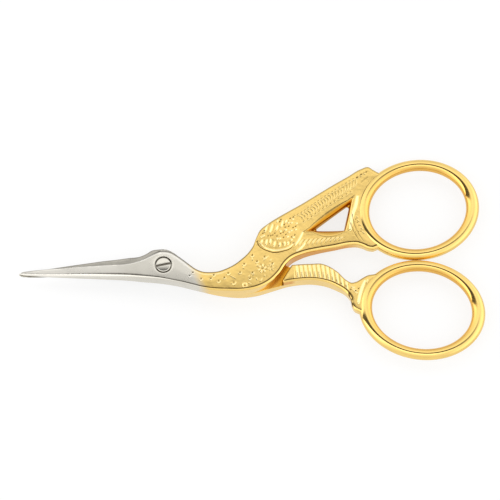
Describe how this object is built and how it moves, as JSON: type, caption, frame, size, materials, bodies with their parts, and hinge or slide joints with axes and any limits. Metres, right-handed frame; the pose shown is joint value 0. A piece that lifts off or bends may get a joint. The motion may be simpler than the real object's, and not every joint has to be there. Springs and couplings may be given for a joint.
{
  "type": "stork embroidery scissors",
  "caption": "Small embroidery scissors shaped like a stork: slim steel blades form the beak, gold-plated body, tail, leg and oval finger bows turn on a slotted screw.",
  "frame": {"origin": "on the pivot axis, at the level of the rear face of the pivot boss", "axes": "+X from the pivot towards the finger bows, +Y from the leg towards the stork's tail, +Z out of the front face, along the pivot axis"},
  "size_m": [0.0896, 0.0409, 0.0052],
  "materials": {
    "steel": "ground and polished steel",
    "gold_plate": "bright gold plating, satin on the engraved faces",
    "screw_steel": "polished steel"
  },
  "bodies": {
    "rear_lever": {"rear_blade": "steel", "rear_leg": "gold_plate", "rear_bow": "gold_plate", "pivot_screw": "screw_steel"},
    "front_lever": {"front_blade": "steel", "front_body": "gold_plate", "front_bow": "gold_plate"}
  },
  "joints": [
    {"name": "pivot", "type": "hinge", "parent": "rear_lever", "child": "front_lever", "pos_m": [0, 0, 0.0026], "axis": [0, 0, 1], "range_deg": [0, 75]}
  ]
}
